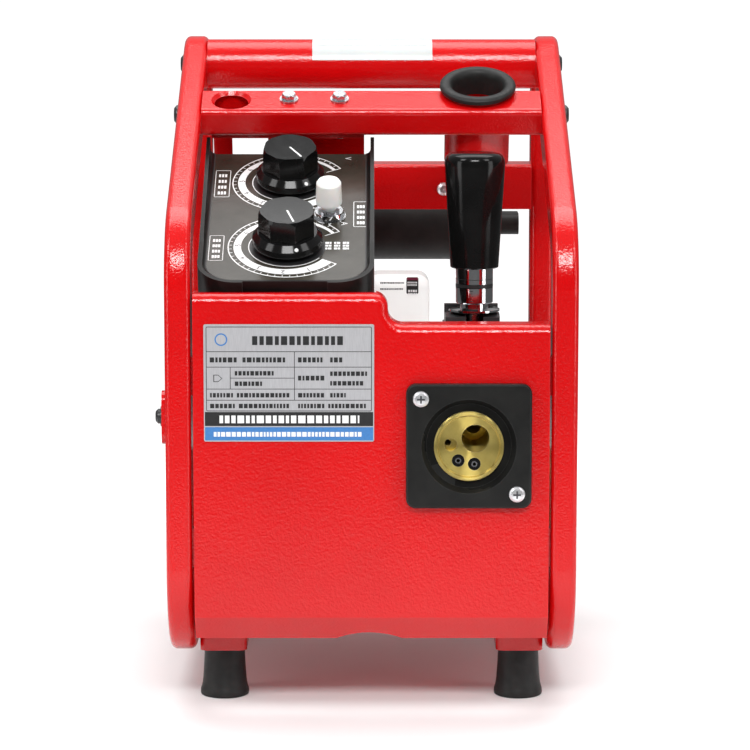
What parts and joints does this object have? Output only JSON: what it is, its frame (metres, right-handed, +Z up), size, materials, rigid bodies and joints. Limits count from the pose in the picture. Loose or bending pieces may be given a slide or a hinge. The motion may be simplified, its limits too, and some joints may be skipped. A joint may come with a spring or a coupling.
{
  "type": "welding wire feeder",
  "caption": "Open-frame welding wire feeder: sloped control box with knobs, torch socket, roller feed unit with tension lever, carry handle, spool hub, rubber feet.",
  "frame": {"origin": "middle of the overall footprint, on the plane the rubber feet stand on", "axes": "+X to the user's right, +Y towards the spool hub at the back, +Z up; the torch socket faces -Y"},
  "size_m": [0.2205, 0.381, 0.3469],
  "materials": {
    "red_paint": "gloss powder coat",
    "zinc_steel": "bright zinc",
    "black_steel": "black oxide",
    "rubber_black": "matt",
    "plastic_black": "gloss",
    "plastic_satin": "satin",
    "label_silver": "satin printed",
    "label_white": "satin",
    "brass_yellow": "polished",
    "chrome_bright": "polished",
    "steel_hard": "ground",
    "cast_alloy": "cast and machined",
    "laminate_brown": "resin laminate",
    "motor_grey": "satin",
    "plastic_white": "satin",
    "plastic_clear": "translucent"
  },
  "bodies": {
    "frame": {"base_plate": "red_paint", "beam_screws": "zinc_steel", "cable_terminal": "brass_yellow", "control_bracket": "red_paint", "control_connector": "chrome_bright", "control_face": "plastic_satin", "control_housing": "plastic_black", "feed_bracket": "red_paint", "feed_plate": "cast_alloy", "foot_pads": "red_paint", "foot_screws": "zinc_steel", "frame_bolts": "black_steel", "front_beam": "red_paint", "front_panel": "red_paint", "gas_inlet_nipple": "brass_yellow", "gas_valve": "brass_yellow", "gearbox": "cast_alloy", "handle_sticker": "label_white", "handle_tube": "red_paint", "housing_cover": "plastic_black", "hub_nut": "zinc_steel", "inch_switch_body": "zinc_steel", "inch_switch_nut": "chrome_bright", "insulating_plate": "laminate_brown", "motor_body": "motor_grey", "pan_screws": "zinc_steel", "pivot_pins": "steel_hard", "plate_screws": "black_steel", "potentiometers": "zinc_steel", "rating_plate": "label_silver", "rear_crossbeam": "red_paint", "rear_plate": "red_paint", "relay_case": "plastic_clear", "rubber_feet": "rubber_black", "side_frame_left": "red_paint", "side_frame_right": "red_paint", "socket_body": "brass_yellow", "socket_contacts": "chrome_bright", "socket_flange": "plastic_satin", "spool_bracket": "red_paint", "spool_shaft": "zinc_steel", "torch_holder_grommet": "rubber_black", "torch_holder_tube": "red_paint", "wire_guides": "brass_yellow"},
    "voltage_knob": {"voltage_knob": "plastic_black"},
    "current_knob": {"current_knob": "plastic_black"},
    "inch_button": {"inch_button_cap": "plastic_white"},
    "drive_roller": {"drive_shaft": "steel_hard", "drive_roller": "steel_hard", "roller_thumbscrew": "steel_hard"},
    "pressure_arm": {"pressure_arm": "black_steel", "pressure_roller_pin": "steel_hard"},
    "pressure_roller": {"pressure_roller": "steel_hard"},
    "tension_lever": {"tension_rod": "zinc_steel", "tension_spring": "steel_hard"},
    "tension_washer": {"tension_washer": "chrome_bright"},
    "tension_handle": {"tension_handle": "plastic_black", "tension_barrel": "chrome_bright"},
    "spool_hub": {"spool_hub": "plastic_satin"},
    "hub_latch": {"hub_latch": "plastic_satin"}
  },
  "joints": [
    {"name": "voltage_knob_turn", "type": "hinge", "parent": "frame", "child": "voltage_knob", "pos_m": [-0.044, -0.07764, 0.27179], "axis": [0, -0.4147, 0.91], "range_deg": [-271, 24]},
    {"name": "current_knob_turn", "type": "hinge", "parent": "frame", "child": "current_knob", "pos_m": [-0.044, -0.13997, 0.24338], "axis": [0, -0.4147, 0.91], "range_deg": [-257, 38]},
    {"name": "inch_button_press", "type": "slide", "parent": "frame", "child": "inch_button", "axis": [0, 0.4147, -0.91], "range_m": [0, 0.003], "stiffness_N_per_m": 300},
    {"name": "tension_lever_swing", "type": "hinge", "parent": "frame", "child": "tension_lever", "pos_m": [0.0551, -0.109, 0.165], "axis": [1, 0, 0], "range_deg": [0, 38]},
    {"name": "tension_handle_turn", "type": "hinge", "parent": "tension_lever", "child": "tension_handle", "pos_m": [0.0551, -0.109, 0.165], "axis": [0, 0, 1], "range_deg": [-360, 360]},
    {"name": "pressure_arm_float", "type": "hinge", "parent": "frame", "child": "pressure_arm", "pos_m": [0.054, -0.034, 0.172], "axis": [-1, 0, 0], "range_deg": [0, 1.6]},
    {"name": "tension_washer_slide", "type": "slide", "parent": "tension_lever", "child": "tension_washer", "axis": [0, 0, 1], "range_m": [0, 0.0022], "deforming": ["tension_spring"]},
    {"name": "drive_roller_spin", "type": "hinge", "parent": "frame", "child": "drive_roller", "pos_m": [0.0536, -0.066, 0.1302], "axis": [1, 0, 0], "continuous": true},
    {"name": "pressure_roller_spin", "type": "hinge", "parent": "pressure_arm", "child": "pressure_roller", "pos_m": [0.0536, -0.066, 0.1676], "axis": [1, 0, 0], "continuous": true},
    {"name": "spool_hub_spin", "type": "hinge", "parent": "frame", "child": "spool_hub", "pos_m": [0, 0.154, 0.23], "axis": [1, 0, 0], "continuous": true},
    {"name": "hub_latch_turn", "type": "hinge", "parent": "spool_hub", "child": "hub_latch", "pos_m": [0.077, 0.1356, 0.23], "axis": [1, 0, 0], "range_deg": [0, 180]}
  ],
  "couplings": [
    {"joint": "tension_washer_slide", "follows": "pressure_arm_float", "m_per_rad": 0.075},
    {"joint": "pressure_roller_spin", "follows": "drive_roller_spin", "ratio": -1.0109}
  ]
}
